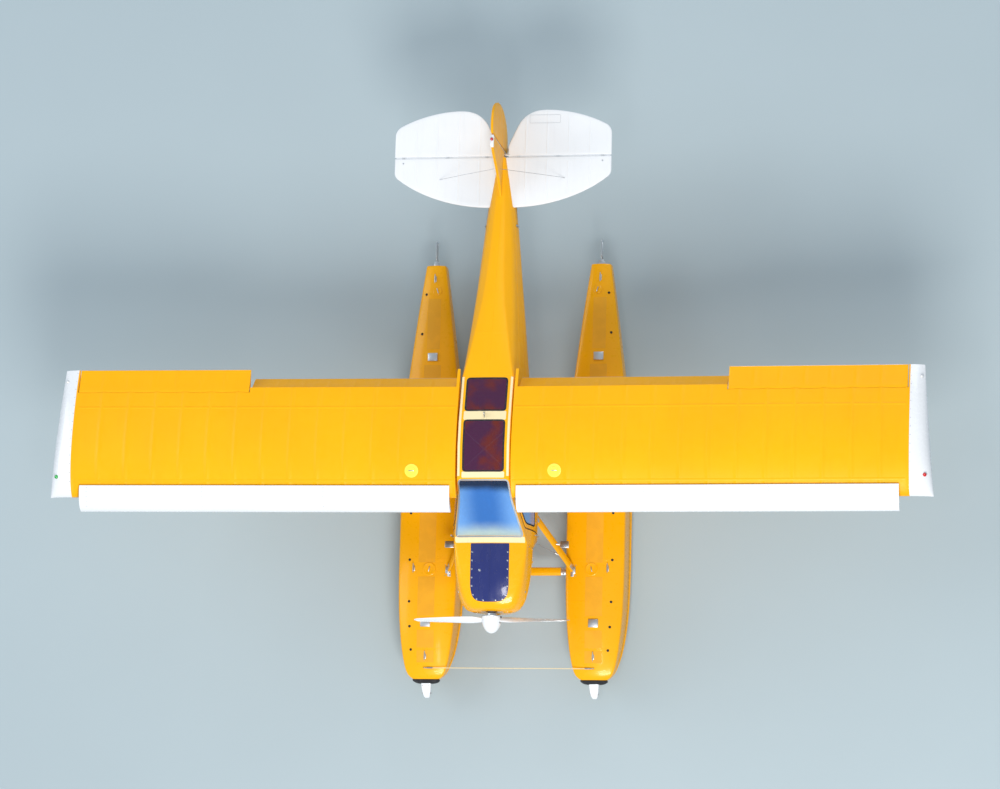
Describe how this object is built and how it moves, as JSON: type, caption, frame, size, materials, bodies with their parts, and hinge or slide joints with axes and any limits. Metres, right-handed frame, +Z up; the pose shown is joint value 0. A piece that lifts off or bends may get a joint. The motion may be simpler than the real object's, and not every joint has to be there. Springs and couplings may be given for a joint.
{
  "type": "floatplane",
  "caption": "High-wing light floatplane with fixed leading-edge slats, strutted wings, a glazed side-by-side cabin with top-hinged doors and stepped floats.",
  "frame": {"origin": "middle of the plane's box in plan, at the height of the float keels", "axes": "+X to the plane's own left wing tip, -Y forwards to the nose, +Z up"},
  "size_m": [9.6204, 6.414, 2.5461],
  "materials": {
    "yellow_metal": "gloss paint",
    "yellow_fabric": "painted and doped covering, satin",
    "white_fabric": "painted and doped covering, satin",
    "yellow_composite": "gloss gel coat",
    "white_composite": "gloss gel coat",
    "white_metal": "gloss paint",
    "dark_panel": "dark blue-black satin paint",
    "blade_composite": "painted composite",
    "engine_iron": "as cast",
    "clear_glazing": "clear",
    "smoked_glazing": "smoked",
    "bare_aluminium": "bare, satin",
    "white_alloy": "white paint",
    "dark_alloy": "black crackle paint",
    "bumper_rubber": "matt",
    "seat_cover": "dark red upholstery"
  },
  "bodies": {
    "airframe": {"cabin_shell": "yellow_metal", "cowl": "yellow_metal", "wing_strut_left": "yellow_metal", "wing_strut_right": "yellow_metal", "float_strut_left": "yellow_metal", "float_strut_right": "yellow_metal", "wing_left": "yellow_fabric", "wing_right": "yellow_fabric", "tail_cone": "yellow_fabric", "fin": "yellow_fabric", "stabiliser_left": "white_fabric", "stabiliser_right": "white_fabric", "float_left": "yellow_composite", "float_right": "yellow_composite", "wing_tip_left": "white_composite", "wing_tip_right": "white_composite", "slat_left": "white_metal", "slat_right": "white_metal", "cowl_top_panel": "dark_panel", "engine_block": "engine_iron", "windscreen": "clear_glazing", "rear_window_left": "clear_glazing", "rear_window_right": "clear_glazing", "skylight_front": "smoked_glazing", "skylight_rear": "smoked_glazing", "spreader_bar_front": "bare_aluminium", "spreader_bar_rear": "bare_aluminium", "brace_wires_front": "bare_aluminium", "brace_wires_rear": "bare_aluminium", "exhaust_pipe": "bare_aluminium", "tail_strut_left": "bare_aluminium", "tail_strut_right": "bare_aluminium", "bow_fitting_left": "white_alloy", "bow_fitting_right": "white_alloy", "cabin_frame": "white_alloy", "instrument_panel": "dark_alloy", "bow_bumper_left": "bumper_rubber", "bow_bumper_right": "bumper_rubber", "seat_left": "seat_cover", "seat_right": "seat_cover"},
    "propeller": {"propeller": "blade_composite", "spinner": "white_composite"},
    "elevator": {"elevator": "white_fabric"},
    "rudder": {"rudder": "yellow_fabric"},
    "aileron_left": {"aileron_left": "yellow_fabric"},
    "flap_left": {"flap_left": "yellow_fabric"},
    "door_left": {"door_left": "yellow_metal", "door_window_left": "clear_glazing"},
    "water_rudder_left": {"water_rudder_left": "bare_aluminium"},
    "aileron_right": {"aileron_right": "yellow_fabric"},
    "flap_right": {"flap_right": "yellow_fabric"},
    "door_right": {"door_right": "yellow_metal", "door_window_right": "clear_glazing"},
    "water_rudder_right": {"water_rudder_right": "bare_aluminium"}
  },
  "joints": [
    {"name": "propeller_spin", "type": "hinge", "parent": "airframe", "child": "propeller", "pos_m": [0, -2.491, 1.67], "axis": [0, 1, 0], "continuous": true},
    {"name": "elevator_hinge", "type": "hinge", "parent": "airframe", "child": "elevator", "pos_m": [0, 2.698, 1.7], "axis": [1, 0, 0], "range_deg": [-22, 28]},
    {"name": "rudder_hinge", "type": "hinge", "parent": "airframe", "child": "rudder", "pos_m": [0, 2.78, 1.95], "axis": [0, 0, 1], "range_deg": [-25, 25]},
    {"name": "aileron_left_hinge", "type": "hinge", "parent": "airframe", "child": "aileron_left", "pos_m": [0.29039, -0.0837, 2.30793], "axis": [0.9998, 0, 0.0175], "range_deg": [-20, 20]},
    {"name": "flap_left_hinge", "type": "hinge", "parent": "airframe", "child": "flap_left", "pos_m": [0.29049, -0.084, 2.30194], "axis": [0.9998, 0, 0.0175], "range_deg": [0, 38]},
    {"name": "door_left_hinge", "type": "hinge", "parent": "airframe", "child": "door_left", "pos_m": [0.311, -0.987, 2.224], "axis": [0, -1, 0], "range_deg": [0, 75]},
    {"name": "water_rudder_left_post", "type": "hinge", "parent": "airframe", "child": "water_rudder_left", "pos_m": [0.95, 1.743, 0.435], "axis": [0, 0, 1], "range_deg": [-30, 30]},
    {"name": "aileron_right_hinge", "type": "hinge", "parent": "airframe", "child": "aileron_right", "pos_m": [-0.29039, -0.0837, 2.30793], "axis": [0.9998, 0, -0.0175], "range_deg": [-20, 20]},
    {"name": "flap_right_hinge", "type": "hinge", "parent": "airframe", "child": "flap_right", "pos_m": [-0.29049, -0.084, 2.30194], "axis": [0.9998, 0, -0.0175], "range_deg": [0, 38]},
    {"name": "door_right_hinge", "type": "hinge", "parent": "airframe", "child": "door_right", "pos_m": [-0.311, -0.987, 2.224], "axis": [0, 1, 0], "range_deg": [0, 75]},
    {"name": "water_rudder_right_post", "type": "hinge", "parent": "airframe", "child": "water_rudder_right", "pos_m": [-0.95, 1.743, 0.435], "axis": [0, 0, 1], "range_deg": [-30, 30]}
  ],
  "couplings": [
    {"joint": "aileron_right_hinge", "follows": "aileron_left_hinge", "ratio": -1},
    {"joint": "flap_right_hinge", "follows": "flap_left_hinge", "ratio": 1},
    {"joint": "water_rudder_right_post", "follows": "water_rudder_left_post", "ratio": 1}
  ]
}
